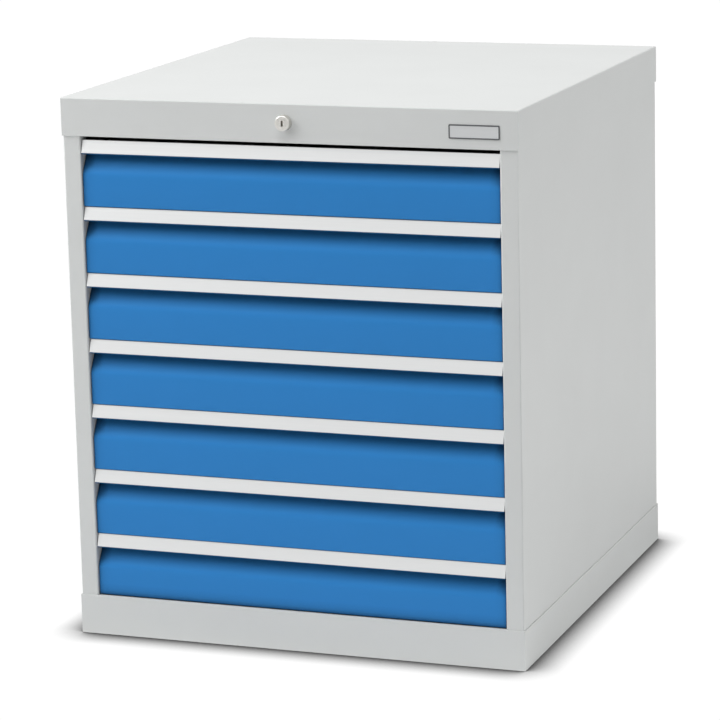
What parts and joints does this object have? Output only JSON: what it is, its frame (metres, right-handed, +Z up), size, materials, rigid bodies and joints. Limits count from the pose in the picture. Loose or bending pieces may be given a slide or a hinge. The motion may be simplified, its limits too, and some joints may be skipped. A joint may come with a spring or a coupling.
{
  "type": "drawer cabinet",
  "caption": "Steel tool cabinet with a stack of equal full-extension drawers, finger-pull aluminium grip strips, side roller slides and one key lock that bars every drawer.",
  "frame": {"origin": "middle of the footprint, lock rosette included, on the floor", "axes": "+X to the viewer's right, +Y from the drawer fronts to the back, +Z up"},
  "size_m": [0.705, 0.7444, 0.819],
  "materials": {
    "grey_paint": "satin powder coat, light grey",
    "tray_paint": "satin powder coat, light grey",
    "blue_paint": "satin powder coat, light blue",
    "strip_aluminium": "matt anodised",
    "zinc_steel": "bright zinc plated",
    "nylon": "turned natural nylon",
    "lock_metal": "satin nickel plated",
    "plate_metal": "bare satin plate with a dark rim"
  },
  "bodies": {
    "cabinet": {"top_cover": "grey_paint", "base_plinth": "grey_paint", "right_side_panel": "grey_paint", "left_side_panel": "grey_paint", "rear_panel": "grey_paint", "floor_plate": "grey_paint", "right_uprights": "zinc_steel", "left_uprights": "zinc_steel", "right_slide_rails": "zinc_steel", "left_slide_rails": "zinc_steel", "lock_body": "lock_metal", "lock_nut": "zinc_steel", "shaft_bracket": "zinc_steel", "bar_guides": "zinc_steel", "name_plate": "plate_metal"},
    "drawer_1": {"drawer_tray_1": "tray_paint", "drawer_front_1": "blue_paint", "grip_strip_1": "strip_aluminium", "drawer_channels_1": "zinc_steel"},
    "slide_1": {"slide_plates_1": "zinc_steel", "slide_runners_1": "nylon"},
    "drawer_2": {"drawer_tray_2": "tray_paint", "drawer_front_2": "blue_paint", "grip_strip_2": "strip_aluminium", "drawer_channels_2": "zinc_steel"},
    "slide_2": {"slide_plates_2": "zinc_steel", "slide_runners_2": "nylon"},
    "drawer_3": {"drawer_tray_3": "tray_paint", "drawer_front_3": "blue_paint", "grip_strip_3": "strip_aluminium", "drawer_channels_3": "zinc_steel"},
    "slide_3": {"slide_plates_3": "zinc_steel", "slide_runners_3": "nylon"},
    "drawer_4": {"drawer_tray_4": "tray_paint", "drawer_front_4": "blue_paint", "grip_strip_4": "strip_aluminium", "drawer_channels_4": "zinc_steel"},
    "slide_4": {"slide_plates_4": "zinc_steel", "slide_runners_4": "nylon"},
    "drawer_5": {"drawer_tray_5": "tray_paint", "drawer_front_5": "blue_paint", "grip_strip_5": "strip_aluminium", "drawer_channels_5": "zinc_steel"},
    "slide_5": {"slide_plates_5": "zinc_steel", "slide_runners_5": "nylon"},
    "drawer_6": {"drawer_tray_6": "tray_paint", "drawer_front_6": "blue_paint", "grip_strip_6": "strip_aluminium", "drawer_channels_6": "zinc_steel"},
    "slide_6": {"slide_plates_6": "zinc_steel", "slide_runners_6": "nylon"},
    "drawer_7": {"drawer_tray_7": "tray_paint", "drawer_front_7": "blue_paint", "grip_strip_7": "strip_aluminium", "drawer_channels_7": "zinc_steel"},
    "slide_7": {"slide_plates_7": "zinc_steel", "slide_runners_7": "nylon"},
    "lock": {"lock_plug": "lock_metal", "lock_shaft": "zinc_steel"},
    "lock_bar": {"locking_bar": "zinc_steel"}
  },
  "joints": [
    {"name": "drawer_1_pull", "type": "slide", "parent": "cabinet", "child": "drawer_1", "axis": [0, -1, 0], "range_m": [0, 0.6]},
    {"name": "slide_1_run", "type": "slide", "parent": "cabinet", "child": "slide_1", "axis": [0, -1, 0], "range_m": [0, 0.3]},
    {"name": "drawer_2_pull", "type": "slide", "parent": "cabinet", "child": "drawer_2", "axis": [0, -1, 0], "range_m": [0, 0.6]},
    {"name": "slide_2_run", "type": "slide", "parent": "cabinet", "child": "slide_2", "axis": [0, -1, 0], "range_m": [0, 0.3]},
    {"name": "drawer_3_pull", "type": "slide", "parent": "cabinet", "child": "drawer_3", "axis": [0, -1, 0], "range_m": [0, 0.6]},
    {"name": "slide_3_run", "type": "slide", "parent": "cabinet", "child": "slide_3", "axis": [0, -1, 0], "range_m": [0, 0.3]},
    {"name": "drawer_4_pull", "type": "slide", "parent": "cabinet", "child": "drawer_4", "axis": [0, -1, 0], "range_m": [0, 0.6]},
    {"name": "slide_4_run", "type": "slide", "parent": "cabinet", "child": "slide_4", "axis": [0, -1, 0], "range_m": [0, 0.3]},
    {"name": "drawer_5_pull", "type": "slide", "parent": "cabinet", "child": "drawer_5", "axis": [0, -1, 0], "range_m": [0, 0.6]},
    {"name": "slide_5_run", "type": "slide", "parent": "cabinet", "child": "slide_5", "axis": [0, -1, 0], "range_m": [0, 0.3]},
    {"name": "drawer_6_pull", "type": "slide", "parent": "cabinet", "child": "drawer_6", "axis": [0, -1, 0], "range_m": [0, 0.6]},
    {"name": "slide_6_run", "type": "slide", "parent": "cabinet", "child": "slide_6", "axis": [0, -1, 0], "range_m": [0, 0.3]},
    {"name": "drawer_7_pull", "type": "slide", "parent": "cabinet", "child": "drawer_7", "axis": [0, -1, 0], "range_m": [0, 0.6]},
    {"name": "slide_7_run", "type": "slide", "parent": "cabinet", "child": "slide_7", "axis": [0, -1, 0], "range_m": [0, 0.3]},
    {"name": "lock_turn", "type": "hinge", "parent": "cabinet", "child": "lock", "pos_m": [0, -0.3638, 0.7914], "axis": [0, 1, 0], "range_deg": [0, 90]},
    {"name": "lock_lift", "type": "slide", "parent": "cabinet", "child": "lock_bar", "axis": [0, 0, 1], "range_m": [0, 0.01202]}
  ],
  "couplings": [
    {"joint": "slide_1_run", "follows": "drawer_1_pull", "ratio": 0.5},
    {"joint": "slide_2_run", "follows": "drawer_2_pull", "ratio": 0.5},
    {"joint": "slide_3_run", "follows": "drawer_3_pull", "ratio": 0.5},
    {"joint": "slide_4_run", "follows": "drawer_4_pull", "ratio": 0.5},
    {"joint": "slide_5_run", "follows": "drawer_5_pull", "ratio": 0.5},
    {"joint": "slide_6_run", "follows": "drawer_6_pull", "ratio": 0.5},
    {"joint": "slide_7_run", "follows": "drawer_7_pull", "ratio": 0.5},
    {"joint": "lock_turn", "follows": "lock_lift", "rad_per_m": 130.67}
  ]
}
